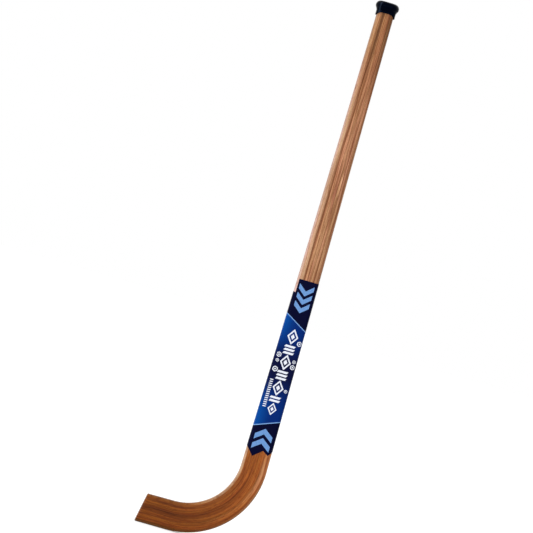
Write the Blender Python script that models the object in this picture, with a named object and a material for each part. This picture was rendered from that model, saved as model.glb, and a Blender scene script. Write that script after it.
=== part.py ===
"""Roller hockey stick: glued wooden plies bent into a blade, a rubber butt cap and printed films.

Metres, +Z up the shaft, the striking face towards -Y and the blade towards -X. The origin is the
middle of the upper hand's grip, on the shaft's axis.
"""

from collections import namedtuple
from itertools import pairwise
from math import asin, cos, dist, pi, radians, sin, sqrt, tan

import bmesh
import bpy

# Shaft: straight, wider and thicker towards the bend. The flare makes it widen sooner there
SHAFT_LENGTH = 0.770
BUTT_WIDTH = 0.0275
BUTT_THICKNESS = 0.0195
SHAFT_FLARE = 0.3
GRIP_BELOW_BUTT = 0.110
EDGE_RADIUS = 0.006
END_CHAMFER = 0.001

# Plies, from the inside of the bend outwards, as thick as they are at the bend
INNER_PLY = 0.0124
CORE_PLY = 0.0063
CORE_PLY_COUNT = 3
OUTER_PLY = 0.0099
GLUE_LINE = 0.0003

# Bend and blade
INNER_BEND_RADIUS = 0.0874
BEND_ANGLE = radians(90)
BLADE_THICKNESS = 0.021
SOLE_STRIP = 0.0049
SOLE_TIP = 0.0004
TOE_LENGTH = 0.0524
TOE_TAPER = 0.0005
TOE_SLANT = radians(10.6)

# Butt cap: a hollow rubber cup with a mushroom crown and a hem that arches over each face. The
# flatness is the power of the arch's curve
CAP_COVERS = 0.0194
CAP_SKIRT_WALL = 0.0018
CAP_HEM_ARCH = 0.0056
CAP_HEM_FLATNESS = 4
CAP_NECK_HEIGHT = 0.0085
CAP_HEM_ROUND = 0.0003
CAP_CROWN_OVERHANG = 0.0034
CAP_CROWN_ROUND = 0.0076
CAP_CROWN_SWEEP = radians(130)
CAP_TOP_WALL = 0.0046

# Printed films. Their foot is cut to a long and a short point: each corner is a place across, as a
# share of half the width, and how far the corner hangs below the foot
FILM_THICKNESS = 0.0003
FRONT_FILM_TOP = 0.310
BACK_FILM_TOP = 0.288
FILM_FOOT = 0.0305
FILM_FOOT_CORNERS = [(-1.0, 0.0), (-0.43, 0.0138), (0.286, 0.0014), (0.715, 0.0072), (1.0, 0.0)]

# Clearance between two pieces that touch, and the most of a wall that its rounding may take
FIT_GAP = 0.0003
MOST_ROUNDING = 0.9

# How finely the shapes are divided, and the angle above which an edge stays sharp. The films'
# points fall on whole steps across a face
SHAFT_STEPS = 8
BEND_STEPS = 24
EDGE_STEPS = 6
CROWN_STEPS = 7
FACE_STEPS = 10
SIDE_STEPS = 2
SHARP_ANGLE = radians(35)

# Finishes: a colour and a roughness
Finish = namedtuple("Finish", "colour roughness")
INNER_WOOD = Finish((0.50, 0.29, 0.15), 0.35)
CORE_WOODS = [Finish((0.37, 0.19, 0.08), 0.35), Finish((0.42, 0.22, 0.09), 0.35)]
OUTER_WOOD = Finish((0.40, 0.20, 0.08), 0.35)
SOLE_WOOD = Finish((0.26, 0.11, 0.045), 0.4)
PRINTED_FILM = Finish((0.01, 0.04, 0.22), 0.25)
CAP_RUBBER = Finish((0.006, 0.008, 0.014), 0.5)

# The plies, and sizes that follow from those above. Neighbouring core plies differ in colour
Ply = namedtuple("Ply", "name thickness finish")
PLIES = (
    [Ply("inner_ply", INNER_PLY, INNER_WOOD)]
    + [
        Ply(f"core_ply_{number + 1}", CORE_PLY, CORE_WOODS[number % len(CORE_WOODS)])
        for number in range(CORE_PLY_COUNT)
    ]
    + [Ply("outer_ply", OUTER_PLY, OUTER_WOOD)]
)
GLUE_IN_LAMINATE = GLUE_LINE * (len(PLIES) - 1)
PLY_TOTAL = sum(ply.thickness for ply in PLIES)
LAMINATE_WIDTH = PLY_TOTAL + GLUE_IN_LAMINATE
BLADE_GROWTH = SOLE_STRIP + GLUE_LINE
BEND_CENTRE_X = -(INNER_BEND_RADIUS + LAMINATE_WIDTH / 2)
BEND_START_Z = GRIP_BELOW_BUTT - SHAFT_LENGTH

# The strip's feathered tip begins where the blade has grown by the tip and its glue line. The
# outer ply is relieved just before it, along the landing.
TIP_ANGLE = BEND_ANGLE * asin((SOLE_TIP + GLUE_LINE) / BLADE_GROWTH) / (pi / 2)
LANDING_ANGLE = radians(0.8)
TIP_CLEARANCE_ANGLE = FIT_GAP / (INNER_BEND_RADIUS + LAMINATE_WIDTH)

# One cross-section of the wood. place turns a distance from the nominal inner edge into (x, z)
# from the start of the bend, share is the plies' local share of their full thickness, and inner,
# laminate and outer are the edges of the outline, of the plies and of the whole section.
Station = namedtuple("Station", "place share inner laminate outer half_thickness radius")


def edge_radius(half_thickness):
    """Rounding of the wood's long edges, limited by its thickness."""
    return min(EDGE_RADIUS, MOST_ROUNDING * half_thickness)


def shaft_width(height):
    """Width of the shaft at a height above the start of the bend."""
    share = height / SHAFT_LENGTH
    return LAMINATE_WIDTH + (BUTT_WIDTH - LAMINATE_WIDTH) * share * (1 + SHAFT_FLARE * (1 - share))


def shaft_thickness(height):
    """Thickness of the shaft at a height above the start of the bend."""
    return BLADE_THICKNESS + (BUTT_THICKNESS - BLADE_THICKNESS) * height / SHAFT_LENGTH


def shaft_station(height, chamfer=0.0):
    """Cross-section of the straight shaft."""
    width = shaft_width(height)
    half_thickness = shaft_thickness(height) / 2
    return Station(
        place=lambda across: (across - width / 2, height),
        share=(width - GLUE_IN_LAMINATE) / PLY_TOTAL,
        inner=chamfer,
        laminate=width - chamfer,
        outer=width - chamfer,
        half_thickness=half_thickness - chamfer,
        radius=edge_radius(half_thickness) - chamfer,
    )


def blade_width(turn):
    """Width of the blade after a turn of the bend: the strip swells from nothing."""
    return LAMINATE_WIDTH + BLADE_GROWTH * sin(pi / 2 * turn / BEND_ANGLE)


def bend_station(turn):
    """Cross-section in the bend. Before the strip's tip the outer ply fills the whole outline."""
    width = blade_width(turn)
    return Station(
        place=lambda across: (
            BEND_CENTRE_X + (INNER_BEND_RADIUS + across) * cos(turn),
            -(INNER_BEND_RADIUS + across) * sin(turn),
        ),
        share=1.0,
        inner=0.0,
        laminate=LAMINATE_WIDTH if turn >= TIP_ANGLE else width,
        outer=width,
        half_thickness=BLADE_THICKNESS / 2,
        radius=edge_radius(BLADE_THICKNESS / 2),
    )


def toe_station(setback, chamfer=0.0):
    """Slanted cross-section at the toe, set back from its end. The sole reaches furthest."""
    width = blade_width(BEND_ANGLE)

    def place(across):
        forward = TOE_LENGTH - setback - (width - across) * tan(TOE_SLANT)
        radius = INNER_BEND_RADIUS + across
        return (
            BEND_CENTRE_X + radius * cos(BEND_ANGLE) - forward * sin(BEND_ANGLE),
            -radius * sin(BEND_ANGLE) - forward * cos(BEND_ANGLE),
        )

    return Station(
        place=place,
        share=1.0,
        inner=TOE_TAPER * (1 - setback / TOE_LENGTH) + chamfer,
        laminate=LAMINATE_WIDTH,
        outer=width - chamfer,
        half_thickness=BLADE_THICKNESS / 2 - chamfer,
        radius=edge_radius(BLADE_THICKNESS / 2) - chamfer,
    )


def wood_stations():
    """Cross-sections from the butt to the toe, with two extra ones at the strip's landing."""
    shaft_length = SHAFT_LENGTH - END_CHAMFER
    heights = [shaft_length * step / SHAFT_STEPS for step in range(SHAFT_STEPS, 0, -1)]
    turns = [BEND_ANGLE * step / BEND_STEPS for step in range(BEND_STEPS + 1)]
    landing = [TIP_ANGLE - LANDING_ANGLE, TIP_ANGLE]
    spaced = [turn for turn in turns if min(abs(turn - near) for near in landing) > LANDING_ANGLE / 2]
    return (
        [shaft_station(SHAFT_LENGTH, END_CHAMFER)]
        + [shaft_station(height) for height in heights]
        + [bend_station(turn) for turn in sorted(spaced + landing)]
        + [toe_station(END_CHAMFER), toe_station(0.0, END_CHAMFER)]
    )


def strip_stations():
    """Cross-sections of the blade that the sole strip covers."""
    start = TIP_ANGLE + TIP_CLEARANCE_ANGLE
    steps = [start + (BEND_ANGLE - start) * step / BEND_STEPS for step in range(BEND_STEPS + 1)]
    toe = [toe_station(END_CHAMFER), toe_station(0.0, END_CHAMFER)]
    return [bend_station(turn) for turn in steps] + toe


def half_thickness_at(station, across):
    """Half the wood's thickness at a distance across, under the rounding of its edges."""
    from_edge = min(across - station.inner, station.outer - across)
    inset = station.radius - max(from_edge, 0.0)
    if inset <= 0:
        return station.half_thickness
    return station.half_thickness - station.radius + sqrt(station.radius**2 - inset**2)


def section_ring(station, lower, upper, round_side=None):
    """Closed ring of points round one ply, from lower to upper across the section."""
    reach = min(station.radius, MOST_ROUNDING * (upper - lower))
    steps = [reach * (1 - cos(pi / 2 * step / EDGE_STEPS)) for step in range(EDGE_STEPS + 1)]
    if round_side == "inner":
        across = [lower + step for step in steps] + [upper]
    elif round_side == "outer":
        across = [lower] + [upper - step for step in reversed(steps)]
    else:
        across = [lower, upper]
    front = []
    back = []
    for distance in across:
        x, z = station.place(distance)
        depth = half_thickness_at(station, distance)
        front.append((x, -depth, z))
        back.append((x, depth, z))
    return front + back[::-1]


def ply_ring(station, number):
    """Ring of points round the ply of that number, counted from the inside of the bend."""
    start = station.share * sum(ply.thickness for ply in PLIES[:number]) + GLUE_LINE * number
    end = start + station.share * PLIES[number].thickness
    if number == 0:
        return section_ring(station, station.inner, end, "inner")
    if number == len(PLIES) - 1:
        return section_ring(station, start, station.laminate, "outer")
    return section_ring(station, start, end)


def loft(rings):
    """Mesh that runs through the rings, made by extruding one face from ring to ring."""
    bm = bmesh.new()
    end = bm.faces.new([bm.verts.new(point) for point in rings[0]])
    for ring in rings[1:]:
        grown = bmesh.ops.extrude_face_region(bm, geom=[end, *end.edges])["geom"]
        end = next(item for item in grown if isinstance(item, bmesh.types.BMFace))
        for vert, point in zip(end.verts, ring):
            vert.co = point
    bmesh.ops.recalc_face_normals(bm, faces=bm.faces)
    mesh = bpy.data.meshes.new("loft")
    bm.to_mesh(mesh)
    bm.free()
    mesh.shade_smooth()
    mesh.set_sharp_from_angle(angle=SHARP_ANGLE)
    return mesh


def material_of(name, finish):
    """Principled material with a plain colour."""
    material = bpy.data.materials.new(name)
    material.use_nodes = True
    shader = material.node_tree.nodes["Principled BSDF"]
    shader.inputs["Base Color"].default_value = (*finish.colour, 1.0)
    shader.inputs["Roughness"].default_value = finish.roughness
    shader.inputs["Metallic"].default_value = 0.0
    return material


def add_piece(name, rings, height, parent, finish):
    """Named piece at a height on the shaft's axis, with its own material."""
    mesh = loft(rings)
    mesh.name = name
    mesh.materials.append(material_of(name, finish))
    piece = bpy.data.objects.new(name, mesh)
    piece.location = (0.0, 0.0, height)
    piece.parent = parent
    bpy.context.collection.objects.link(piece)
    return piece


def between(start, end, steps):
    """Points that divide a straight stretch into equal steps, without its two ends."""
    shares = [step / steps for step in range(1, steps)]
    return [tuple(a + (b - a) * share for a, b in zip(start, end)) for share in shares]


def outline_ring(half_width, half_depth, radius):
    """Points round a rounded rectangle, anticlockwise from the left end of its front face."""
    radius = min(radius, MOST_ROUNDING * half_width, MOST_ROUNDING * half_depth)
    flat_x = half_width - radius
    flat_y = half_depth - radius
    corners = [(flat_x, -flat_y), (flat_x, flat_y), (-flat_x, flat_y), (-flat_x, -flat_y)]
    points = [(-flat_x, -half_depth)]
    for quarter, (x, y) in enumerate(corners):
        angles = [pi / 2 * (quarter - 1 + step / EDGE_STEPS) for step in range(EDGE_STEPS + 1)]
        arc = [(x + radius * cos(angle), y + radius * sin(angle)) for angle in angles]
        points += between(points[-1], arc[0], SIDE_STEPS if quarter % 2 else FACE_STEPS)
        points += arc
    return points[:-1]


def shaft_outline(height, gap):
    """Outline of the shaft at a height above the start of the bend, grown by a gap."""
    half_thickness = shaft_thickness(height) / 2
    return outline_ring(
        shaft_width(height) / 2 + gap,
        half_thickness + gap,
        edge_radius(half_thickness) + gap,
    )


def skirt_ring(height, offset):
    """Ring of the cap's skirt at a height from the butt, arched over each face near the hem."""
    outline = shaft_outline(SHAFT_LENGTH + height, offset)
    half_width = max(x for x, _ in outline)
    below_neck = max(CAP_NECK_HEIGHT - CAP_COVERS - height, 0.0)
    arch = CAP_HEM_ARCH * below_neck / CAP_NECK_HEIGHT
    return [(x, y, height + arch * (1 - abs(x / half_width) ** CAP_HEM_FLATNESS)) for x, y in outline]


def cap_rings():
    """Rings of the butt cap: down the crown and the skirt, round the hem and up the inside."""
    skirt_offset = FIT_GAP + CAP_SKIRT_WALL
    half_width = BUTT_WIDTH / 2 + skirt_offset + CAP_CROWN_OVERHANG
    half_depth = BUTT_THICKNESS / 2 + skirt_offset + CAP_CROWN_OVERHANG
    crown_round = min(CAP_CROWN_ROUND, MOST_ROUNDING * half_depth)
    crown_middle = FIT_GAP + CAP_TOP_WALL - crown_round
    rings = []
    for step in range(CROWN_STEPS + 1):
        angle = pi / 2 - CAP_CROWN_SWEEP * step / CROWN_STEPS
        inset = crown_round * (1 - cos(angle))
        height = crown_middle + crown_round * sin(angle)
        outline = outline_ring(half_width - inset, half_depth - inset, half_depth)
        rings.append([(x, y, height) for x, y in outline])
    hem = -CAP_COVERS
    return rings + [
        skirt_ring(hem + CAP_NECK_HEIGHT, skirt_offset),
        skirt_ring(hem + CAP_HEM_ROUND, skirt_offset),
        skirt_ring(hem, skirt_offset - CAP_HEM_ROUND),
        skirt_ring(hem, FIT_GAP + CAP_HEM_ROUND),
        skirt_ring(hem + CAP_HEM_ROUND, FIT_GAP),
        skirt_ring(hem + CAP_NECK_HEIGHT, FIT_GAP),
        skirt_ring(FIT_GAP, FIT_GAP),
    ]


def film_foot(x):
    """Height of a film's lower edge at a place across the shaft."""
    across = 2 * x / shaft_width(FILM_FOOT)
    for (place, drop), (next_place, next_drop) in pairwise(FILM_FOOT_CORNERS):
        if place <= across <= next_place:
            share = (across - place) / (next_place - place)
            return FILM_FOOT - drop - (next_drop - drop) * share
    return FILM_FOOT


def outline_place(height, gap, position):
    """Place on the shaft's grown outline, at a point's number or part way to the next one."""
    outline = shaft_outline(height, gap)
    number = int(position)
    here = outline[number % len(outline)]
    after = outline[(number + 1) % len(outline)]
    return tuple(a + (b - a) * (position - number) for a, b in zip(here, after))


def film_rings(first, last, top):
    """Small rectangles that sweep a film round the shaft, from one outline point to another.

    Each end stops short of its seam by half the clearance.
    """
    outline = shaft_outline(FILM_FOOT, FIT_GAP)
    count = len(outline)
    first_trim = FIT_GAP / 2 / dist(outline[first % count], outline[(first + 1) % count])
    last_trim = FIT_GAP / 2 / dist(outline[last % count], outline[(last - 1) % count])
    positions = [first + first_trim, *range(first + 1, last), last - last_trim]
    inside = FIT_GAP
    outside = FIT_GAP + FILM_THICKNESS
    rings = []
    for position in positions:
        foot = film_foot(outline_place(FILM_FOOT, inside, position)[0])
        corners = [(top, inside), (top, outside), (foot, outside), (foot, inside)]
        rings.append([(*outline_place(height, gap, position), height) for height, gap in corners])
    return rings


for old in list(bpy.data.objects):
    bpy.data.objects.remove(old)

grip_centre = bpy.data.objects.new("grip_centre", None)
bpy.context.collection.objects.link(grip_centre)

# The plies run from the butt to the toe, and the sole strip lies outside them round the bend
stations = wood_stations()
for number, ply in enumerate(PLIES):
    ply_rings = [ply_ring(station, number) for station in stations]
    add_piece(ply.name, ply_rings, BEND_START_Z, grip_centre, ply.finish)

strip_start = LAMINATE_WIDTH + GLUE_LINE
strip_rings = [section_ring(station, strip_start, station.outer, "outer") for station in strip_stations()]
add_piece("sole_strip", strip_rings, BEND_START_Z, grip_centre, SOLE_WOOD)

# The films meet on the middle of the outer side, and on the rounding of the inner front edge
outline_count = len(shaft_outline(0.0, 0.0))
outer_seam = FACE_STEPS + EDGE_STEPS + SIDE_STEPS // 2
inner_seam = outline_count - EDGE_STEPS // 3
front_rings = film_rings(inner_seam, outer_seam + outline_count, FRONT_FILM_TOP)
back_rings = film_rings(outer_seam, inner_seam, BACK_FILM_TOP)
add_piece("front_film", front_rings, BEND_START_Z, grip_centre, PRINTED_FILM)
add_piece("back_film", back_rings, BEND_START_Z, grip_centre, PRINTED_FILM)

# The cap stands on the butt and pulls off along the shaft's axis
add_piece("butt_cap", cap_rings(), GRIP_BELOW_BUTT, grip_centre, CAP_RUBBER)
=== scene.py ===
"""Roller hockey stick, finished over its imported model.

Wooden plies bent round a form and glued, the glue lines between them, two printed films round the
lower shaft and a rubber cap on the butt. Metres, +Z up the shaft, the striking face towards -Y.
"""

from collections import namedtuple
from itertools import pairwise
from math import cos, pi, radians, sin, sqrt, tan

import bmesh
import bpy
from mathutils import Matrix, Vector


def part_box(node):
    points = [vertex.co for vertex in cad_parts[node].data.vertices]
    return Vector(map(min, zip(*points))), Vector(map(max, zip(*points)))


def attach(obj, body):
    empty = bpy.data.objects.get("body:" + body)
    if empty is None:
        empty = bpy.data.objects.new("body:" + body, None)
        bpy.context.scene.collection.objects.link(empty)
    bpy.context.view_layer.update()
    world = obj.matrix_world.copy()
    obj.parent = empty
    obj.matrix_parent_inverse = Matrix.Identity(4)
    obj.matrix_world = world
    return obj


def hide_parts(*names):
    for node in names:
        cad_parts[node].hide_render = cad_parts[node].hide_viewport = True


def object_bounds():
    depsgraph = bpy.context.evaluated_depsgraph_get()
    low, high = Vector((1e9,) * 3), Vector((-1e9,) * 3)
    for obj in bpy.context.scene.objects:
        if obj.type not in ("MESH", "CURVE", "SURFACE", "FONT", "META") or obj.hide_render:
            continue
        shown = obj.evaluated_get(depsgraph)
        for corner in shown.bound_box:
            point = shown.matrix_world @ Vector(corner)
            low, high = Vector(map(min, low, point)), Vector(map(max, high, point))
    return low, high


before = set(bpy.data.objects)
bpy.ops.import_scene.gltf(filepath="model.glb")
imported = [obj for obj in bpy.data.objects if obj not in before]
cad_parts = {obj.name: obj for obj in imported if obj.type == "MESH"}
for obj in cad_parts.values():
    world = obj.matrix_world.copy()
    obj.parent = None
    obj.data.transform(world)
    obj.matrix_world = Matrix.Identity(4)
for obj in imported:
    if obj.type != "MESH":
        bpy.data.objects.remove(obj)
cad_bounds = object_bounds()

# Camera
# It looks square on to the striking face through a long lens, from very slightly towards the toe.
# The stick leans to the right in the picture, so the camera is rolled against it.
IMAGE_PIXELS = 533
METRES_PER_PIXEL = 0.0016
STICK_LEAN = radians(16.16)
CAMERA_AZIMUTH = radians(-2.5)
CAMERA_LENS = 300.0
VIEW_CENTRE = Vector((-0.0711, -0.01, -0.3459))

camera = bpy.data.objects.new("camera", bpy.data.cameras.new("camera"))
camera.data.lens = CAMERA_LENS
camera_distance = METRES_PER_PIXEL * IMAGE_PIXELS * CAMERA_LENS / camera.data.sensor_width
camera_turn = Matrix.Rotation(CAMERA_AZIMUTH, 4, "Z") @ Matrix.Rotation(pi / 2, 4, "X")
camera.matrix_world = (
    Matrix.Translation(VIEW_CENTRE)
    @ camera_turn
    @ Matrix.Rotation(STICK_LEAN, 4, "Z")
    @ Matrix.Translation((0, 0, camera_distance))
)
bpy.context.scene.collection.objects.link(camera)
bpy.context.scene.camera = camera

# Inner ply, core plies and outer ply
# Five sawn strips of straight-grained wood, glued face to face and bent together round a form with
# steam. The stack is then tapered to the butt, its long edges are rounded and all of it is varnished.
SHAFT_LENGTH = 0.770
BUTT_WIDTH = 0.0275
BUTT_THICKNESS = 0.0195
SHAFT_FLARE = 0.3
GRIP_BELOW_BUTT = 0.110
BLADE_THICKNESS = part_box("inner_ply")[1].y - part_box("inner_ply")[0].y
EDGE_RADIUS = 0.006
END_ROUNDING = 0.001
GLUE_LINE = 0.0003
INNER_BEND_RADIUS = 0.0874
SOLE_STRIP = 0.0049
TOE_LENGTH = 0.0524
TOE_TAPER = 0.0005
TOE_SLANT = radians(10.6)
PLY_THICKNESS = [0.0124, 0.0063, 0.0063, 0.0063, 0.0099]
PLY_NAMES = ["inner_ply", "core_ply_1", "core_ply_2", "core_ply_3", "outer_ply"]

SHAFT_CUTS = 45
BEND_CUTS = 72
TOE_CUTS = 12
ROUNDING_CUTS = 14
END_CUTS = 3
MOST_ROUNDING = 0.96
SHARP_ANGLE = radians(35)

PLY_TOTAL = sum(PLY_THICKNESS)
GLUE_TOTAL = GLUE_LINE * (len(PLY_THICKNESS) - 1)
STACK_WIDTH = PLY_TOTAL + GLUE_TOTAL
BLADE_GROWTH = SOLE_STRIP + GLUE_LINE
BEND_START_Z = GRIP_BELOW_BUTT - SHAFT_LENGTH
BEND_CENTRE = Vector((-(INNER_BEND_RADIUS + STACK_WIDTH / 2), 0, BEND_START_Z))
BEND_LENGTH = (INNER_BEND_RADIUS + STACK_WIDTH / 2) * pi / 2

# One cut across the wood. along is the distance from the start of the bend towards the toe, place
# turns a distance across from the inner edge into (x, z), taper is the plies' share of their full
# thickness, and inner, stack and outer are the edges of the outline, of the plies and of the whole.
Cut = namedtuple("Cut", "along place taper inner stack outer half_thickness radius")


def shaft_width(height):
    """Width of the shaft at a height above the start of the bend."""
    share = height / SHAFT_LENGTH
    return STACK_WIDTH + (BUTT_WIDTH - STACK_WIDTH) * share * (1 + SHAFT_FLARE * (1 - share))


def shaft_half_thickness(height):
    """Half the thickness of the shaft at a height above the start of the bend."""
    return (BLADE_THICKNESS + (BUTT_THICKNESS - BLADE_THICKNESS) * height / SHAFT_LENGTH) / 2


def shaft_cut(height, inset=0.0):
    """Cut across the straight shaft, drawn in all round by an inset."""
    width = shaft_width(height)
    return Cut(
        along=-height,
        place=lambda across: (across - width / 2, BEND_START_Z + height),
        taper=(width - GLUE_TOTAL) / PLY_TOTAL,
        inner=inset,
        stack=width - inset,
        outer=width - inset,
        half_thickness=shaft_half_thickness(height) - inset,
        radius=EDGE_RADIUS - inset,
    )


def bend_cut(turn, with_strip):
    """Cut across the bend. Without the sole strip the outer ply fills the whole outline."""
    width = STACK_WIDTH + BLADE_GROWTH * sin(turn)
    return Cut(
        along=turn / (pi / 2) * BEND_LENGTH,
        place=lambda across: (
            BEND_CENTRE.x + (INNER_BEND_RADIUS + across) * cos(turn),
            BEND_CENTRE.z - (INNER_BEND_RADIUS + across) * sin(turn),
        ),
        taper=1.0,
        inner=0.0,
        stack=STACK_WIDTH if with_strip else width,
        outer=width,
        half_thickness=BLADE_THICKNESS / 2,
        radius=EDGE_RADIUS,
    )


def toe_cut(share, setback=0.0, inset=0.0):
    """Cut across the toe, which slants more and more towards its end. The sole reaches furthest."""
    width = STACK_WIDTH + BLADE_GROWTH

    def place(across):
        forward = share * (TOE_LENGTH - (width - across) * tan(TOE_SLANT)) - setback
        return (BEND_CENTRE.x - forward, BEND_CENTRE.z - INNER_BEND_RADIUS - across)

    return Cut(
        along=BEND_LENGTH + share * TOE_LENGTH - setback,
        place=place,
        taper=1.0,
        inner=TOE_TAPER * share + inset,
        stack=STACK_WIDTH,
        outer=width - inset,
        half_thickness=BLADE_THICKNESS / 2 - inset,
        radius=EDGE_RADIUS - inset,
    )


def end_steps():
    """Pairs of setback and inset that round the wood's end, from its side to its end face."""
    angles = [pi / 2 * step / END_CUTS for step in range(END_CUTS + 1)]
    return [(END_ROUNDING * (1 - sin(angle)), END_ROUNDING * (1 - cos(angle))) for angle in angles]


def blade_cuts(first_turn, last_turn, with_strip):
    """Cuts from one turn of the bend to another, and on to the toe's end if that is the last."""
    count = max(2, round(BEND_CUTS * (last_turn - first_turn) / (pi / 2)))
    turns = [first_turn + (last_turn - first_turn) * step / count for step in range(count + 1)]
    cuts = [bend_cut(turn, with_strip) for turn in turns]
    if last_turn < pi / 2:
        return cuts
    shares = [step / TOE_CUTS for step in range(1, TOE_CUTS)]
    return cuts + [toe_cut(share) for share in shares] + [toe_cut(1.0, *step) for step in end_steps()]


def half_thickness_at(cut, across):
    """Half the wood's thickness at a distance across, under the rounding of its long edges."""
    from_edge = min(across - cut.inner, cut.outer - across)
    inset = min(max(cut.radius - from_edge, 0.0), cut.radius)
    return cut.half_thickness - cut.radius + sqrt(cut.radius**2 - inset**2)


# The sole strip ends in a feathered tip, just after the start of the bend
TIP_THICKNESS = 0.0004
TIP_TURN = (TIP_THICKNESS + GLUE_LINE) / BLADE_GROWTH
TIP_LANDING = radians(0.8)

shaft_heights = [SHAFT_LENGTH * step / SHAFT_CUTS for step in range(SHAFT_CUTS - 1, 0, -1)]
butt_cuts = [shaft_cut(SHAFT_LENGTH - setback, inset) for setback, inset in reversed(end_steps())]
ply_cuts = (
    butt_cuts
    + [shaft_cut(height) for height in shaft_heights]
    + blade_cuts(0.0, TIP_TURN - TIP_LANDING, False)
    + blade_cuts(TIP_TURN, pi / 2, True)
)


def strip_ring(cut, lower, upper, flat_lower, flat_upper, rounded=None):
    """Points round one ply in a cut, each with its place in the flat wood: across, depth, along."""
    if rounded:
        reach = min(cut.radius, MOST_ROUNDING * (upper - lower))
        steps = [reach * (1 - cos(pi / 2 * step / ROUNDING_CUTS)) for step in range(ROUNDING_CUTS + 1)]
        inwards = [lower + step for step in steps] + [upper]
        across = inwards if rounded == "inner" else [upper + lower - step for step in inwards][::-1]
    else:
        across = [lower, (lower + upper) / 2, upper]
    stretch = (flat_upper - flat_lower) / (upper - lower)
    ring = []
    for side in (-1, 1):
        for distance in across[::-side]:
            x, z = cut.place(distance)
            depth = side * half_thickness_at(cut, distance)
            flat = flat_lower + (distance - lower) * stretch
            ring.append((Vector((x, depth, z)), Vector((flat, depth, cut.along))))
    return ring


def drawn_out(rings, layer_name):
    """Mesh made by extruding a face from ring to ring, with the flat places kept in an attribute."""
    bm = bmesh.new()
    layer = bm.verts.layers.float_vector.new(layer_name)
    end = bm.faces.new([bm.verts.new(point) for point, _ in rings[0]])
    for vert, (_, flat) in zip(end.verts, rings[0]):
        vert[layer] = flat
    for ring in rings[1:]:
        grown = bmesh.ops.extrude_face_region(bm, geom=[end, *end.edges])["geom"]
        end = next(item for item in grown if isinstance(item, bmesh.types.BMFace))
        for vert, (point, flat) in zip(end.verts, ring, strict=True):
            vert.co = point
            vert[layer] = flat
    bmesh.ops.recalc_face_normals(bm, faces=bm.faces)
    mesh = bpy.data.meshes.new(layer_name)
    bm.to_mesh(mesh)
    bm.free()
    mesh.shade_smooth()
    mesh.set_sharp_from_angle(angle=SHARP_ANGLE)
    return mesh


def add_piece(name, mesh, material, body, slot, *nodes):
    """Object of a finished mesh that rides on a body and stands for its nodes of the model."""
    mesh.name = name
    mesh.materials.append(material)
    piece = bpy.data.objects.new(name, mesh)
    bpy.context.scene.collection.objects.link(piece)
    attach(piece, body)
    if nodes:
        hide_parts(*nodes)
    return piece


def feed(socket, value):
    """Link an output to a socket, or set the socket to a plain value."""
    if isinstance(value, bpy.types.NodeSocket):
        socket.id_data.links.new(value, socket)
    else:
        socket.default_value = value


def feed_named(made, **values):
    """Feed a node's inputs by name. An underscore in a name stands for a space."""
    for name, value in values.items():
        feed(made.inputs[name.replace("_", " ")], value)


def node(tree, kind, *values, **settings):
    """Node of a kind, with its settings made and its inputs fed in order. None skips an input."""
    made = tree.nodes.new("ShaderNode" + kind)
    for name, value in settings.items():
        setattr(made, name, value)
    for socket, value in zip(made.inputs, values):
        if value is not None:
            feed(socket, value)
    return made


def tree_of(*values):
    """Node tree of the outputs among some values."""
    return next(value.id_data for value in values if isinstance(value, bpy.types.NodeSocket))


def after(kind, *values, **settings):
    """Node in the tree that its inputs come from."""
    return node(tree_of(*values), kind, *values, **settings)


def maths(operation, *values):
    """Result of one Math node."""
    return after("Math", *values, operation=operation).outputs[0]


def chained(operation):
    """Function that joins two or more values by Math nodes, from the first to the last."""

    def join(first, *others):
        for other in others:
            first = maths(operation, first, other)
        return first

    return join


total = chained("ADD")
less = chained("SUBTRACT")
product = chained("MULTIPLY")
quotient = chained("DIVIDE")
greatest = chained("MAXIMUM")


def size_of(value):
    """Value without its sign."""
    return maths("ABSOLUTE", value)


def apart(value, other):
    """How far a value is from another."""
    return size_of(less(value, other))


def spread(value, low, high, to_low=0.0, to_high=1.0):
    """Value brought smoothly from one range to another, and held at its ends."""
    made = after("MapRange", value, low, high, to_low, to_high, interpolation_type="SMOOTHSTEP")
    return made.outputs["Result"]


def rise(value, low, high, top=1.0):
    """0 up to a low value, and from there smoothly up to a top at a high one."""
    return spread(value, low, high, 0.0, top)


def fall(value, low, high, bottom=0.0):
    """1 up to a low value, and from there smoothly down to a bottom at a high one."""
    return spread(value, low, high, 1.0, bottom)


def between(low, high, share):
    """Value between two values."""
    return after("MapRange", share, 0.0, 1.0, low, high).outputs["Result"]


def mixed(share, first, second, blend="MIX"):
    """Colour between two colours."""
    made = node(tree_of(share, first, second), "Mix", data_type="RGBA", blend_type=blend)
    sockets = {socket.identifier: socket for socket in made.inputs}
    feed(sockets["Factor_Float"], share)
    feed(sockets["A_Color"], first)
    feed(sockets["B_Color"], second)
    return next(socket for socket in made.outputs if socket.identifier == "Result_Color")


def multiplied(colour, other):
    """Colour times another colour or a value."""
    return mixed(1.0, colour, other, "MULTIPLY")


def tinted(colour, share, tint):
    """Colour multiplied by a tint, for a share of it."""
    return mixed(share, colour, multiplied(colour, (*tint, 1)))


def noise(place, scale, detail, roughness):
    """Soft noise over a place."""
    return after("TexNoise", place, None, scale, detail, roughness).outputs["Fac"]


def attribute(tree, name):
    """Places that are kept in a mesh."""
    return node(tree, "Attribute", attribute_name=name).outputs["Vector"]


def new_group(name, inputs, outputs):
    """Shader node group with named sockets: its tree, its given values and its results."""
    tree = bpy.data.node_groups.new(name, "ShaderNodeTree")
    for socket_name, kind in inputs.items():
        tree.interface.new_socket(socket_name, in_out="INPUT", socket_type="NodeSocket" + kind)
    for socket_name, kind in outputs.items():
        tree.interface.new_socket(socket_name, in_out="OUTPUT", socket_type="NodeSocket" + kind)
    return tree, tree.nodes.new("NodeGroupInput").outputs, tree.nodes.new("NodeGroupOutput").inputs


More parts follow.
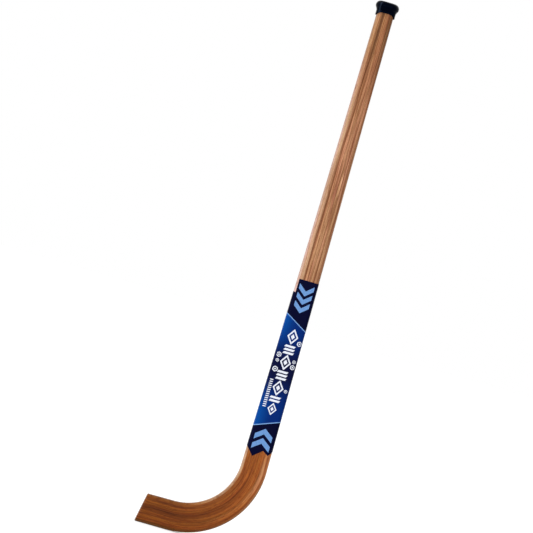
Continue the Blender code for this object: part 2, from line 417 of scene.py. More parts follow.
def use_group(group, **values):
    """Outputs of a group, placed in the tree that its inputs come from."""
    made = node(tree_of(*values.values()), "Group", node_tree=group)
    feed_named(made, **values)
    return made.outputs


def new_material(name):
    """Material, its tree and its Principled shader."""
    material = bpy.data.materials.new(name)
    material.use_nodes = True
    return material, material.node_tree, material.node_tree.nodes["Principled BSDF"]


def add_relief(shader, height, depth):
    """Fine relief on a surface: its height, and the metres that a height of one stands for."""
    bump = node(shader.id_data, "Bump")
    feed_named(bump, Distance=depth, Height=height)
    feed_named(shader, Normal=bump.outputs["Normal"])


def linear(red, green, blue):
    """Colour for a socket, from the red, green and blue that a screen shows, 0 to 255."""
    shares = [value / 255 for value in (red, green, blue)]
    curve = [s / 12.92 if s <= 0.04045 else ((s + 0.055) / 1.055) ** 2.4 for s in shares]
    return (*curve, 1.0)


BUTT_WOOD = linear(158, 106, 68)
SHAFT_WOOD = linear(176, 124, 90)
BEND_WOOD = linear(153, 84, 33)
TOE_WOOD = linear(123, 64, 17)

SAPWOOD_TINT = (1.48, 1.86, 2.20)
SHAFT_FIGURE = [(0.66, 0.55, 0.46, 1), (1.32, 1.42, 1.50, 1)]
BEND_FIGURE = [(0.70, 0.61, 0.57, 1), (1.30, 1.36, 1.38, 1)]
RED_TO_GOLD = [(1.02, 0.95, 0.98, 1), (0.99, 1.04, 0.96, 1)]
DASH_TINT = (0.70, 0.60, 0.52)
THREAD_TINT = (1.25, 1.36, 1.40)
# Tints of painted shade beside the edges, of a darker line by the outer edge, and of painted
# highlights on the edges
EDGE_SHADE_TINT = (0.76, 0.72, 0.80)
OUTER_LINE_TINT = (0.57, 0.49, 0.56)
BAND_HIGHLIGHT_TINT = (1.20, 1.50, 1.95)
PAINTED_HIGHLIGHT_TINT = (1.30, 2.35, 6.20)
INNER_RIM_HIGHLIGHT_TINT = (1.30, 1.55, 2.20)
VEIN_TINT = (0.48, 0.34, 0.25)
FLECK_TINT = (2.00, 2.45, 2.95)
PATCH_TINT = (0.76, 0.64, 0.64)
PORE_TINT = (0.50, 0.40, 0.32)

BUTT_SAPWOOD = 0.62
SAPWOOD_PLAINNESS = 0.5
STREAK_SHARE = 0.36
LINE_SHARE = 0.36
FIBRE_SHARE = 0.28
SHAFT_DASHES = 0.28
BEND_DASHES = 0.85
THREAD_STRENGTH = 0.55
PORE_STRENGTH = 0.55
FIBRE_HEIGHT = 0.6
ROUGHEST_WOOD = 0.46
SMOOTHEST_WOOD = 0.34
# Shares of the painted highlights on the inner edge of the shaft, the outer edge and the sole
SHAFT_HIGHLIGHT_SHARE = 0.10
OUTER_HIGHLIGHT_SHARE = 0.33
SOLE_HIGHLIGHT_SHARE = 0.70
NARROWEST_VEIN = 0.7
MARK_DEPTH = 0.003

SLOW_DRIFT = 0.010
QUICK_DRIFT = 0.0026
DRIFT_OF_EDGES = 0.30
LINES_LEAN = 0.35
LINES_ASKEW = 0.6
SEED_SCALE = 3.7
FRONT_DEPTH = 0.0098
SOLE_REACH = 0.0036

GRAIN_VALUES = [
    "Seed",
    "Butt Tone",
    "Shaft Tone",
    "Bend Tone",
    "Toe Tone",
    "Sapwood",
    "Vein Centre",
    "Blade Vein Centre",
    "Vein Half Width",
    "Vein on Shaft",
    "Vein on Blade",
    "Vein Starts Low",
]


def wood_grain_group():
    """Straight-grained wood: its stain and figure, sapwood, a dark vein, small marks, and painted
    shade and highlights along its edges.

    Places are in metres, across the wood from its inner edge and along it from the start of the bend.
    """
    tree, given, result = new_group(
        "wood_grain",
        {"Flat Place": "Vector", **dict.fromkeys(GRAIN_VALUES, "Float")},
        {"Color": "Color", "Height": "Float", "Roughness": "Float"},
    )
    across, depth, along = node(tree, "SeparateXYZ", given["Flat Place"]).outputs

    def wood_noise(sideways, across_scale, deep, depth_scale, along_scale, detail, roughness):
        """Noise over the flat wood with its own scale in each direction, and another for each ply."""
        seeded = total(product(along, along_scale), given["Seed"])
        at = after("CombineXYZ", product(sideways, across_scale), product(deep, depth_scale), seeded)
        return noise(at.outputs[0], 1.0, detail, roughness)

    # The lines wander by a millimetre or two over a hand's length, and waver a little on the way.
    # Behind the front face they lie askew, so the sides show them close together
    slow = less(wood_noise(across, 14.0, depth, 20.0, 3.2, 2.0, 0.5), 0.5)
    quick = less(wood_noise(across, 80.0, depth, 60.0, 26.0, 2.0, 0.5), 0.5)
    drift = total(product(slow, SLOW_DRIFT), product(quick, QUICK_DRIFT))
    wavering = total(across, product(drift, DRIFT_OF_EDGES))
    behind_front = greatest(total(depth, FRONT_DEPTH), 0.0)
    askew = product(behind_front, LINES_ASKEW)
    line_across = total(across, drift, product(depth, LINES_LEAN), askew)

    def layer(across_scale, along_scale, detail, roughness, low, high):
        """Noise drawn out along the grain, and spread between two of its levels."""
        seed = given["Seed"]
        drawn = wood_noise(line_across, across_scale, seed, SEED_SCALE, along_scale, detail, roughness)
        return spread(drawn, low, high)

    streaks = layer(250.0, 9.0, 2.0, 0.55, 0.36, 0.64)
    lines = layer(520.0, 15.0, 2.0, 0.6, 0.38, 0.62)
    fibres = layer(1300.0, 36.0, 4.0, 0.65, 0.34, 0.66)
    dashes = layer(900.0, 110.0, 2.0, 0.5, 0.54, 0.66)
    threads = layer(430.0, 15.0, 1.0, 0.5, 0.66, 0.76)
    pores = layer(2900.0, 90.0, 1.0, 0.5, 0.60, 0.70)
    golden = layer(170.0, 11.0, 2.0, 0.5, 0.38, 0.62)

    # The wood is darker at the butt, and darkens again towards the bend and the toe
    below_butt = spread(along, -0.735, -0.600)
    to_shaft = spread(along, -0.765, -0.500)
    to_bend = spread(along, -0.330, -0.020)
    to_toe = spread(along, 0.010, 0.190)
    colour = mixed(to_shaft, BUTT_WOOD, SHAFT_WOOD)
    colour = mixed(to_bend, colour, BEND_WOOD)
    colour = mixed(to_toe, colour, TOE_WOOD)
    tone = between(given["Butt Tone"], given["Shaft Tone"], below_butt)
    tone = between(tone, given["Bend Tone"], to_bend)
    tone = between(tone, given["Toe Tone"], to_toe)
    colour = multiplied(colour, tone)

    # Sapwood shows on the shaft, along the inner edge, and is paler and plainer. It is narrower above
    # the middle of the shaft, and wider below
    sap_edge = total(wavering, spread(along, -0.625, -0.603, 0.0008, 0.0))
    sap_edge = total(sap_edge, rise(along, -0.526, -0.503, 0.0012))
    sap_edge = less(sap_edge, rise(along, -0.468, -0.439, 0.0021))
    sapwood = product(fall(sap_edge, 0.0078, 0.0100), given["Sapwood"])
    sapwood = product(sapwood, between(BUTT_SAPWOOD, 1.0, to_shaft), between(1.0, 0.0, to_bend))
    colour = tinted(colour, sapwood, SAPWOOD_TINT)
    plain = product(sapwood, SAPWOOD_PLAINNESS)

    # The figure: streaks, growth lines and fibres, with short dark dashes and a few pale threads
    figure = total(product(streaks, STREAK_SHARE), product(lines, LINE_SHARE))
    figure = total(figure, product(fibres, FIBRE_SHARE))
    figure = between(spread(figure, 0.10, 0.90), 0.5, plain)
    dark_figure, pale_figure = [mixed(to_bend, *tints) for tints in zip(SHAFT_FIGURE, BEND_FIGURE)]
    colour = multiplied(colour, mixed(figure, dark_figure, pale_figure))
    colour = multiplied(colour, mixed(between(golden, 0.5, plain), *RED_TO_GOLD))
    dashes = product(dashes, between(SHAFT_DASHES, BEND_DASHES, to_bend))
    colour = tinted(colour, dashes, DASH_TINT)
    colour = tinted(colour, product(threads, THREAD_STRENGTH), THREAD_TINT)

    # Painted shade darkens the wood beside the inner edge of the bend and on the top edge of the toe,
    # and a darker line runs beside the outer edge
    painted_edge_shade = greatest(rise(across, 0.0036, 0.0048), rise(along, 0.10, 0.17))
    painted_edge_shade = product(painted_edge_shade, fall(across, 0.0080, 0.0110), rise(along, 0.015, 0.070))
    colour = tinted(colour, painted_edge_shade, EDGE_SHADE_TINT)
    line_place = total(across, spread(along, 0.030, 0.070, 0.0008, 0.0))
    outer_line = product(rise(line_place, 0.0374, 0.0396), fall(line_place, 0.0410, 0.0432))
    outer_line = product(outer_line, rise(along, -0.020, 0.070), fall(along, 0.09, 0.14, 0.12))
    colour = tinted(colour, outer_line, OUTER_LINE_TINT)

    # A painted highlight, a paler band, runs beside that line, in the first half of the bend
    band_highlight = product(rise(across, 0.0298, 0.0318), fall(across, 0.0362, 0.0382))
    band_highlight = product(band_highlight, rise(along, -0.02, 0.0), fall(along, 0.09, 0.14))
    colour = tinted(colour, band_highlight, BAND_HIGHLIGHT_TINT)

    # Painted highlights pale the inner edge of the bend, the outer edge at its start, and the sole.
    # The strip is narrow at its start, so the sole's painted highlight reaches further in there
    inner_highlight = product(fall(across, 0.0029, 0.0040), between(SHAFT_HIGHLIGHT_SHARE, 1.0, to_bend))
    inner_highlight = product(inner_highlight, fall(along, 0.095, 0.15, 0.27))
    highlight_edge = greatest(fall(across, 0.0372, 0.0400, 0.2), fall(along, 0.015, 0.045))
    outer_highlight = product(rise(across, 0.0290, 0.0350, OUTER_HIGHLIGHT_SHARE), to_bend)
    outer_highlight = product(outer_highlight, highlight_edge, fall(along, 0.01, 0.07))
    sole_reach = product(rise(along, -0.010, 0.015), SOLE_REACH, fall(along, 0.034, 0.111))
    sole_highlight = rise(total(across, sole_reach), 0.0430, 0.0458, SOLE_HIGHLIGHT_SHARE)
    colour = tinted(colour, greatest(inner_highlight, outer_highlight, sole_highlight), PAINTED_HIGHLIGHT_TINT)
    # A further painted highlight: a pale line along the inner edge of the bend
    inner_rim_highlight = product(fall(across, 0.0012, 0.0042), to_bend)
    inner_rim_highlight = product(inner_rim_highlight, fall(along, 0.02, 0.06, 0.65), fall(along, 0.085, 0.115))
    colour = tinted(colour, inner_rim_highlight, INNER_RIM_HIGHLIGHT_TINT)

    # The vein wanders by a millimetre or so down the shaft, and fades at both sides. Where it starts
    # low, little of it shows on the upper shaft
    shaft_vein = total(given["Vein Centre"], spread(along, -0.683, -0.654, 0.0027, 0.0005))
    shaft_vein = total(shaft_vein, rise(along, -0.625, -0.609, 0.0011))
    shaft_vein = less(shaft_vein, rise(along, -0.587, -0.532, 0.0016))
    vein_centre = between(shaft_vein, given["Blade Vein Centre"], rise(along, -0.060, -0.030))
    vein_edge = product(given["Vein Half Width"], total(NARROWEST_VEIN, streaks))
    vein = fall(quotient(apart(wavering, vein_centre), vein_edge), 0.2, 1.3)
    missing = product(given["Vein Starts Low"], fall(along, -0.545, -0.505))
    on_shaft = product(given["Vein on Shaft"], fall(along, -0.12, -0.04), less(1.0, missing))
    on_blade = product(given["Vein on Blade"], rise(along, -0.02, 0.05))
    on_blade = product(on_blade, fall(along, 0.13, 0.19, 0.75), fall(along, 0.188, 0.206, 0.4))
    colour = tinted(colour, product(vein, total(on_shaft, on_blade)), VEIN_TINT)

    def mark(mark_along, mark_across, along_ends, across_ends):
        """Long soft mark on the front face, full up to its first end and gone at its second."""
        lengthways = fall(apart(along, mark_along), *along_ends)
        sideways = fall(apart(wavering, mark_across), *across_ends)
        return product(lengthways, sideways, fall(behind_front, 0.0, MARK_DEPTH))

    # A pale fleck lies on the front of the upper shaft, and a darker patch beside it, lower down
    fleck = mark(-0.4710, 0.0293, (0.008, 0.024), (0.0006, 0.0026))
    colour = tinted(colour, fleck, FLECK_TINT)
    patch = mark(-0.4426, 0.0236, (0.014, 0.045), (0.0012, 0.0040))
    colour = tinted(colour, patch, PATCH_TINT)

    # Open pores, dark and short
    colour = tinted(colour, product(pores, PORE_STRENGTH), PORE_TINT)

    feed(result["Color"], colour)
    feed(result["Height"], less(product(fibres, FIBRE_HEIGHT), pores))
    feed(result["Roughness"], between(ROUGHEST_WOOD, SMOOTHEST_WOOD, fibres))
    return tree


wood_grain = wood_grain_group()

VARNISH_COAT = 0.14
VARNISH_ROUGHNESS = 0.24
WOOD_SHEEN = 0.02
GRAIN_RELIEF = 0.00002


def varnished_wood(name, **grain):
    """Wood of its own grain and colours under a satin varnish."""
    material, tree, shader = new_material(name)
    grain_out = use_group(wood_grain, Flat_Place=attribute(tree, "flat_place"), **grain)
    feed_named(
        shader,
        Base_Color=grain_out["Color"],
        Roughness=grain_out["Roughness"],
        Specular_IOR_Level=WOOD_SHEEN,
        Coat_Weight=VARNISH_COAT,
        Coat_Roughness=VARNISH_ROUGHNESS,
    )
    add_relief(shader, grain_out["Height"], GRAIN_RELIEF)
    return material


PLY_WOODS = [
    varnished_wood(
        "inner_wood",
        Seed=1.3,
        Butt_Tone=0.94,
        Shaft_Tone=0.84,
        Bend_Tone=0.88,
        Toe_Tone=1.06,
        Sapwood=1.0,
        Vein_Centre=0.0115,
        Blade_Vein_Centre=0.0105,
        Vein_Half_Width=0.0010,
        Vein_on_Shaft=0.7,
        Vein_on_Blade=0.1,
    ),
    varnished_wood(
        "core_wood_1",
        Seed=4.1,
        Butt_Tone=0.62,
        Shaft_Tone=1.08,
        Bend_Tone=1.08,
        Toe_Tone=1.0,
        Vein_Centre=0.0125,
        Blade_Vein_Centre=0.0176,
        Vein_Half_Width=0.0015,
        Vein_on_Shaft=0.95,
        Vein_on_Blade=0.8,
    ),
    varnished_wood(
        "core_wood_2",
        Seed=8.6,
        Butt_Tone=1.0,
        Shaft_Tone=0.96,
        Bend_Tone=0.98,
        Toe_Tone=0.78,
        Vein_Centre=0.0212,
        Blade_Vein_Centre=0.0196,
        Vein_Half_Width=0.0042,
        Vein_on_Blade=0.62,
    ),
    varnished_wood(
        "core_wood_3",
        Seed=12.9,
        Butt_Tone=0.94,
        Shaft_Tone=0.94,
        Bend_Tone=1.0,
        Toe_Tone=0.90,
        Vein_Centre=0.0314,
        Blade_Vein_Centre=0.0318,
        Vein_Half_Width=0.0012,
        Vein_on_Shaft=0.5,
        Vein_on_Blade=0.1,
    ),
    varnished_wood(
        "outer_wood",
        Seed=17.2,
        Butt_Tone=0.54,
        Shaft_Tone=0.88,
        Bend_Tone=1.22,
        Toe_Tone=1.03,
        Vein_Centre=0.0385,
        Blade_Vein_Centre=0.0385,
        Vein_Half_Width=0.0020,
        Vein_on_Shaft=0.45,
        Vein_on_Blade=0.1,
        Vein_Starts_Low=0.8,
    ),
]
PLY_SLOTS = ["inner_wood", "core_wood_dark", "core_wood_light", "core_wood_dark", "outer_wood"]


def ply_edges(cut, number):
    """Lower and upper edge of a ply in a cut, counted from the inside of the bend."""
    lower = cut.taper * sum(PLY_THICKNESS[:number]) + GLUE_LINE * number
    upper = lower + cut.taper * PLY_THICKNESS[number]
    if number == 0:
        lower = cut.inner
    if number == len(PLY_THICKNESS) - 1:
        upper = cut.stack
    return lower, upper


for number, name in enumerate(PLY_NAMES):
    flat_start = sum(PLY_THICKNESS[:number]) + GLUE_LINE * number
    flat_stop = flat_start + PLY_THICKNESS[number]
    rounded_side = {0: "inner", len(PLY_NAMES) - 1: "outer"}.get(number)
    rings = [
        strip_ring(cut, *ply_edges(cut, number), flat_start, flat_stop, rounded_side)
        for cut in ply_cuts
    ]
    wood = PLY_WOODS[number]
    add_piece(name, drawn_out(rings, "flat_place"), wood, "stick", PLY_SLOTS[number], name)

# Sole strip
# A strip of darker wood glued outside the bend and the blade, where the floor wears it. It starts in
# a feathered tip, so the blade swells smoothly, and it is rounded together with the outer ply.
sole_wood = varnished_wood(
    "sole_wood",
    Seed=23.8,
    Bend_Tone=1.16,
    Toe_Tone=0.74,
    Blade_Vein_Centre=0.0450,
    Vein_Half_Width=0.0015,
    Vein_on_Blade=0.3,
)
TIP_SETBACK = radians(0.2)
strip_cuts = blade_cuts(TIP_TURN + TIP_SETBACK, pi / 2, True)
strip_lower = STACK_WIDTH + GLUE_LINE
sole_rings = [
    strip_ring(cut, strip_lower, cut.outer, strip_lower, cut.outer, "outer") for cut in strip_cuts
]
sole_mesh = drawn_out(sole_rings, "flat_place")
add_piece("sole_strip", sole_mesh, sole_wood, "stick", "sole_wood", "sole_strip")

# Glue lines
# Dark resin glue squeezed thin between the plies, and under the sole strip. It lies a hair below the
# varnished faces and fills the joints from end to end.
GLUE_BELOW_FACE = 0.00003
GLUE_INTO_WOOD = 0.00003
GLUE_SHEEN = 0.02


def glue_ring(cut, lower, upper):
    """Four points round a glue line in a cut."""
    ring = []
    for side in (-1, 1):
        for distance in ((lower, upper) if side < 0 else (upper, lower)):
            x, z = cut.place(distance)
            depth = side * (half_thickness_at(cut, distance) - GLUE_BELOW_FACE)
            ring.append((Vector((x, depth, z)), Vector((distance, depth, cut.along))))
    return ring


glue, glue_tree, glue_shader = new_material("resin_glue")
glue_noise = noise(attribute(glue_tree, "flat_place"), 40.0, 3.0, 0.6)
feed_named(
    glue_shader,
    Base_Color=mixed(glue_noise, linear(70, 40, 24), linear(104, 62, 36)),
    Roughness=spread(glue_noise, 0.3, 0.7, 0.4, 0.6),
    Specular_IOR_Level=GLUE_SHEEN,
)

glue_cuts = [cut for cut in ply_cuts if END_ROUNDING / 2 < cut.along + SHAFT_LENGTH]
for number in range(len(PLY_NAMES) - 1):
    rings = []
    for cut in glue_cuts:
        lower = ply_edges(cut, number)[1] - GLUE_INTO_WOOD
        upper = ply_edges(cut, number + 1)[0] + GLUE_INTO_WOOD
        rings.append(glue_ring(cut, lower, upper))
    mesh = drawn_out(rings, "flat_place")
    add_piece(f"glue_line_{number + 1}", mesh, glue, "stick", PLY_SLOTS[number])
strip_glue_rings = [
    glue_ring(cut, STACK_WIDTH - GLUE_INTO_WOOD, strip_lower + GLUE_INTO_WOOD) for cut in strip_cuts
]
add_piece("glue_line_5", drawn_out(strip_glue_rings, "flat_place"), glue, "stick", "sole_wood")

# Front film and back film
# Two sheets of printed vinyl stuck round the lower shaft. They meet on the outer side and on the
# rounding of the inner front edge. The back one starts lower, and both end in points over the bend.
FILM_THICKNESS = 0.0003
FILM_OFF_WOOD = 0.00005
FRONT_FILM_TOP = 0.310
BACK_FILM_TOP = 0.288
FILM_FOOT = 0.0305
FILM_FOOT_CORNERS = [(-1.0, 0.0), (-0.43, 0.0138), (0.286, 0.0014), (0.715, 0.0072), (1.0, 0.0)]
PRINT_START = 0.005
FILM_ROWS = 70
STEPS_PER_UNIT = 15
SEAM_GAP = 0.00004

# Round the shaft, a place is counted in units: a face or a side takes two and a rounding one. The
# front face runs from -1 to 1, the outer side from 2 to 4, the back face from 5 to 7.
ROUND_UNITS = 12.0
INNER_SEAM = -4 / 3
OUTER_SEAM = 3.0


def round_the_shaft(units, height, offset):
    """Point on the shaft's grown outline, and its distance round from the middle of the front."""
    flat_x = shaft_width(height) / 2 - EDGE_RADIUS
    half_depth = shaft_half_thickness(height)
    flat_y = half_depth - EDGE_RADIUS
    radius = EDGE_RADIUS + offset
    arc = radius * pi / 2
    runs = [(2, 2 * flat_x), (1, arc), (2, 2 * flat_y), (1, arc)] * 2
    centres = [(flat_x, -flat_y), (flat_x, flat_y), (-flat_x, flat_y), (-flat_x, -flat_y)]
    left = units + 1.0
    distance = -flat_x
    if left < 0:
        left += ROUND_UNITS
        distance -= sum(length for _, length in runs)
    for number, (count, length) in enumerate(runs):
        if left <= count or number == len(runs) - 1:
            break
        left -= count
        distance += length
    share = left / count
    distance += share * length
    quarter = number // 2
    if number % 2:
        angle = pi / 2 * (quarter - 1 + share)
        x, y = centres[quarter]
        return Vector((x + radius * cos(angle), y + radius * sin(angle))), distance
    start = Vector(centres[quarter - 1])
    stop = Vector(centres[quarter])
    outwards = Vector((cos(pi / 2 * (quarter - 1)), sin(pi / 2 * (quarter - 1))))
    return start.lerp(stop, share) + outwards * radius, distance


def film_foot(x):
    """Height of a film's lower edge at a place across the shaft: a long and a short point."""
    across = 2 * x / shaft_width(FILM_FOOT)
    for (place, drop), (next_place, next_drop) in pairwise(FILM_FOOT_CORNERS):
        if place <= across <= next_place:
            return FILM_FOOT - drop - (next_drop - drop) * (across - place) / (next_place - place)
    return FILM_FOOT


def film_mesh(first, last, top, middle):
    """Sheet from one seam to the other, wrapped round the shaft.

    Its print is laid out sideways from middle, and upwards from a line just above the bend.
    """
    bm = bmesh.new()
    columns = round((last - first) * STEPS_PER_UNIT)
    bmesh.ops.create_grid(bm, x_segments=columns, y_segments=FILM_ROWS, size=0.5)
    layer = bm.verts.layers.float_vector.new("print_place")
    for vert in bm.verts:
        units = first + (last - first) * (vert.co.x + 0.5)
        foot = film_foot(round_the_shaft(units, FILM_FOOT, 0.0)[0].x)
        height = foot + (top - foot) * (vert.co.y + 0.5)
        _, middle_distance = round_the_shaft(middle, height, FILM_OFF_WOOD)
        point, distance = round_the_shaft(units, height, FILM_OFF_WOOD)
        vert.co = (point.x, point.y, BEND_START_Z + height)
        vert[layer] = (distance - middle_distance, height - PRINT_START, point.x)
    bmesh.ops.recalc_face_normals(bm, faces=bm.faces)
    mesh = bpy.data.meshes.new("film")
    bm.to_mesh(mesh)
    bm.free()
    mesh.shade_smooth()
    return mesh


FILM_NAVY = linear(3, 5, 40)
FILM_NIGHT = linear(8, 14, 54)
FILM_BLUE = linear(3, 40, 112)
FILM_BRIGHT = linear(4, 72, 152)
FILM_PALE = linear(118, 160, 214)
FILM_PALE_SHADE = linear(96, 140, 200)
FILM_WHITE = linear(232, 236, 246)
FIELD_MIDDLE = 0.158
TOP_BORDER = 0.236
TOP_SLANT = -0.60
FOOT_BORDER = 0.068
FOOT_SLANT = 0.38
PINSTRIPE = 0.0008
HEXAGON_SLOPE = 0.866
RIPPLE_DEPTH = 0.00008
FILM_SHEEN = 0.025


def shape_group(name, sizes, shape):
    """Group that gives a mask of a printed shape, from its place on the film and its sizes."""
    sockets = dict.fromkeys(("U", "V", *sizes), "Float")
    tree, given, result = new_group(name, {"Print Place": "Vector", **sockets}, {"Mask": "Float"})
    place = node(tree, "SeparateXYZ", given["Print Place"]).outputs
    outside = shape(given, less(place[0], given["U"]), less(place[1], given["V"]))
    feed(result["Mask"], maths("LESS_THAN", outside, 0.0))
    return tree


def bar_shape(given, u, v):
    """Slanted bar with level ends: Slant is how far it leans to the right for each length up."""
    sides = less(size_of(less(u, product(v, given["Slant"]))), given["Half Width"])
    return greatest(sides, less(size_of(v), given["Half Height"]))


def chevron_shape(given, u, v):
    """Chevron: two arms that rise from its middle by the Slant for each length out."""
    sideways = size_of(u)
    stroke = less(size_of(less(v, product(sideways, given["Slant"]))), given["Half Height"])
    return greatest(stroke, less(sideways, given["Half Width"]))


def border_shape(given, reach):
    """Outline of a shape that ends where its reach is one: the Share is how far in it is inked."""
    return greatest(less(reach, 1.0), less(1.0, given["Share"], reach))


def lozenge_shape(given, u, v):
    """Lozenge outline."""
    reach_u = quotient(size_of(u), given["Half Width"])
    return border_shape(given, total(reach_u, quotient(size_of(v), given["Half Height"])))


def hexagon_shape(given, u, v):
    """Hexagon outline, with a flat side to the left and right."""
    sideways = size_of(u)
    slope = total(product(sideways, 0.5), product(size_of(v), HEXAGON_SLOPE))
    return border_shape(given, quotient(greatest(slope, sideways), given["Half Width"]))


bar = shape_group("slanted_bar", ("Half Width", "Half Height", "Slant"), bar_shape)
chevron = shape_group("chevron", ("Half Width", "Half Height", "Slant"), chevron_shape)
lozenge = shape_group("lozenge", ("Half Width", "Half Height", "Share"), lozenge_shape)
hexagon = shape_group("hexagon", ("Half Width", "Share"), hexagon_shape)


def printed(colour, ink, at, group, shapes):
    """Colour with a list of shapes printed over it in one ink."""
    masks = [use_group(group, Print_Place=at, **sizes)["Mask"] for sizes in shapes]
    return mixed(greatest(*masks), colour, ink)


def printed_vinyl(name, white_bars, white_lozenges, white_hexagons, pale_chevrons):
    """Vinyl with navy ends, a blue field between slanted pinstripes, and inked shapes over them."""
    material, tree, shader = new_material(name)
    at = attribute(tree, "print_place")
    _, v, x = node(tree, "SeparateXYZ", at).outputs

    # The blue field turns to night in the middle of its height, and is brightest at the inner side
    from_middle = apart(v, FIELD_MIDDLE)
    field = mixed(rise(from_middle, 0.006, 0.062), FILM_NIGHT, FILM_BLUE)
    bright = product(fall(x, -0.022, 0.004), rise(from_middle, 0.020, 0.085))
    field = mixed(bright, field, FILM_BRIGHT)

    # Slanted borders with a pale pinstripe part it from the navy ends
    above_field = less(v, total(TOP_BORDER, product(x, TOP_SLANT)))
    below_field = less(total(FOOT_BORDER, product(x, FOOT_SLANT)), v)
    beyond = greatest(above_field, below_field)
    colour = mixed(maths("GREATER_THAN", beyond, 0.0), field, FILM_NAVY)
    colour = mixed(maths("COMPARE", beyond, 0.0, PINSTRIPE), colour, FILM_PALE)

    # The pale ink is a little uneven
    pale_ink = mixed(spread(noise(at, 700.0, 2.0, 0.6), 0.35, 0.65), FILM_PALE, FILM_PALE_SHADE)
    colour = printed(colour, pale_ink, at, chevron, pale_chevrons)
    colour = printed(colour, FILM_WHITE, at, bar, white_bars)
    colour = printed(colour, FILM_WHITE, at, lozenge, white_lozenges)
    colour = printed(colour, FILM_WHITE, at, hexagon, white_hexagons)

    # The film shows the finest ripple of the wood and its glue
    ripple = noise(at, 220.0, 3.0, 0.55)
    add_relief(shader, ripple, RIPPLE_DEPTH)
    gloss = spread(ripple, 0.3, 0.7, 0.30, 0.40)
    feed_named(shader, Base_Color=colour, Roughness=gloss, Specular_IOR_Level=FILM_SHEEN)
    return material


def slanted(u, heights, half_width, half_height, slant):
    """Like bars or chevrons at several heights."""
    return [
        {"U": u, "V": v, "Half_Width": half_width, "Half_Height": half_height, "Slant": slant}
        for v in heights
    ]


def nested_lozenges(u, heights, half_width, half_height):
    """Lozenge outlines at several heights, each round a small solid one."""
    return [
        {
            "U": u,
            "V": v,
            "Half_Width": half_width * size,
            "Half_Height": half_height * size,
            "Share": share,
        }
        for v in heights
        for size, share in ((1.0, 0.30), (0.36, 1.0))
    ]


def nested_hexagons(*places):
    """Hexagon outlines, each at its place and of its half width, round a small solid one."""
    return [
        {"U": u, "V": v, "Half_Width": half_width * size, "Share": share}
        for u, v, half_width in places
        for size, share in ((1.0, 0.34), (0.32, 1.0))
    ]


front_bar_heights = (0.1965, 0.1910, 0.1855, 0.1540, 0.1485, 0.1430, 0.1115, 0.1060)
front_comb_heights = [0.094 + 0.0034 * step for step in range(14)]
back_bar_heights = (0.2050, 0.1995, 0.1660, 0.1605, 0.1270, 0.1215)
foot_chevrons = slanted(0.0, (0.0545, 0.0390), 0.0145, 0.0046, -0.75)

front_print = printed_vinyl(
    "front_print",
    white_bars=(
        slanted(0.0008, front_bar_heights, 0.0082, 0.0017, 0.6)
        + slanted(-0.0128, front_comb_heights, 0.0026, 0.0008, 0.6)
    ),
    white_lozenges=(
        nested_lozenges(0.0008, (0.2125, 0.1700, 0.1275), 0.0090, 0.0128)
        + nested_lozenges(0.0008, (0.0925,), 0.0074, 0.0102)
    ),
    white_hexagons=nested_hexagons(
        (-0.0128, 0.1800, 0.0038),
        (-0.0130, 0.1705, 0.0025),
        (-0.0124, 0.1560, 0.0041),
        (0.0142, 0.2040, 0.0037),
        (0.0140, 0.1740, 0.0026),
        (0.0138, 0.1650, 0.0036),
        (0.0140, 0.1250, 0.0026),
    ),
    pale_chevrons=slanted(0.0005, (0.2840, 0.2700, 0.2560), 0.0122, 0.0041, 0.85) + foot_chevrons,
)
back_print = printed_vinyl(
    "back_print",
    white_bars=slanted(0.0, back_bar_heights, 0.0085, 0.0017, -0.6),
    white_lozenges=nested_lozenges(0.0, (0.1828, 0.1438, 0.1050), 0.0080, 0.0112),
    white_hexagons=nested_hexagons(
        (0.0134, 0.1930, 0.0036), (-0.0134, 0.1630, 0.0036), (0.0134, 0.1330, 0.0036)
    ),
    pale_chevrons=slanted(0.0, (0.2660, 0.2520), 0.0122, 0.0041, 0.85) + foot_chevrons,
)

cut_vinyl, cut_tree, cut_shader = new_material("cut_edge_of_vinyl")
cut_noise = noise(attribute(cut_tree, "print_place"), 500.0, 2.0, 0.5)
feed_named(
    cut_shader,
    Base_Color=mixed(cut_noise, linear(24, 34, 70), linear(44, 58, 100)),
    Roughness=spread(cut_noise, 0.3, 0.7, 0.4, 0.55),
)

film_seams = {
    "front_film": (INNER_SEAM, OUTER_SEAM, FRONT_FILM_TOP, 0.0, front_print),
    "back_film": (OUTER_SEAM, ROUND_UNITS + INNER_SEAM, BACK_FILM_TOP, 6.0, back_print),
}
for name, (first, last, top, middle, vinyl) in film_seams.items():
    trim = SEAM_GAP / (EDGE_RADIUS * pi / 2)
    mesh = film_mesh(first + trim, last - trim, top, middle)
    film = add_piece(name, mesh, vinyl, "stick", "printed_film", name)
    film.data.materials.append(cut_vinyl)
    thickness = film.modifiers.new("thickness", "SOLIDIFY")
    thickness.thickness = FILM_THICKNESS
    thickness.offset = 1.0
    thickness.material_offset_rim = 1

# Butt cap
# Black moulded rubber, a hollow cup with a mushroom crown that stops the hand. It is pushed over the
# butt, and its hem arches up over each face. It pulls off along the shaft.
CAP_COVERS = 0.0194
CAP_SKIRT_WALL = 0.0018
CAP_HEM_ARCH = 0.0056
CAP_HEM_FLATNESS = 4
CAP_NECK_HEIGHT = 0.0085
CAP_HEM_ROUND = 0.0003
CAP_CROWN_OVERHANG = 0.00338
CAP_CROWN_ROUND = 0.0076
CAP_CROWN_SWEEP = radians(130)
CAP_TOP_WALL = 0.0046
CAP_END_FLAT = 0.00005
FIT_GAP = 0.0003
CROWN_CUTS = 26
NECK_CUTS = 8


def straight_between(start, stop):
    """Points that divide a straight run into even steps, without its ends."""
    return [start.lerp(stop, step / STEPS_PER_UNIT) for step in range(1, STEPS_PER_UNIT)]


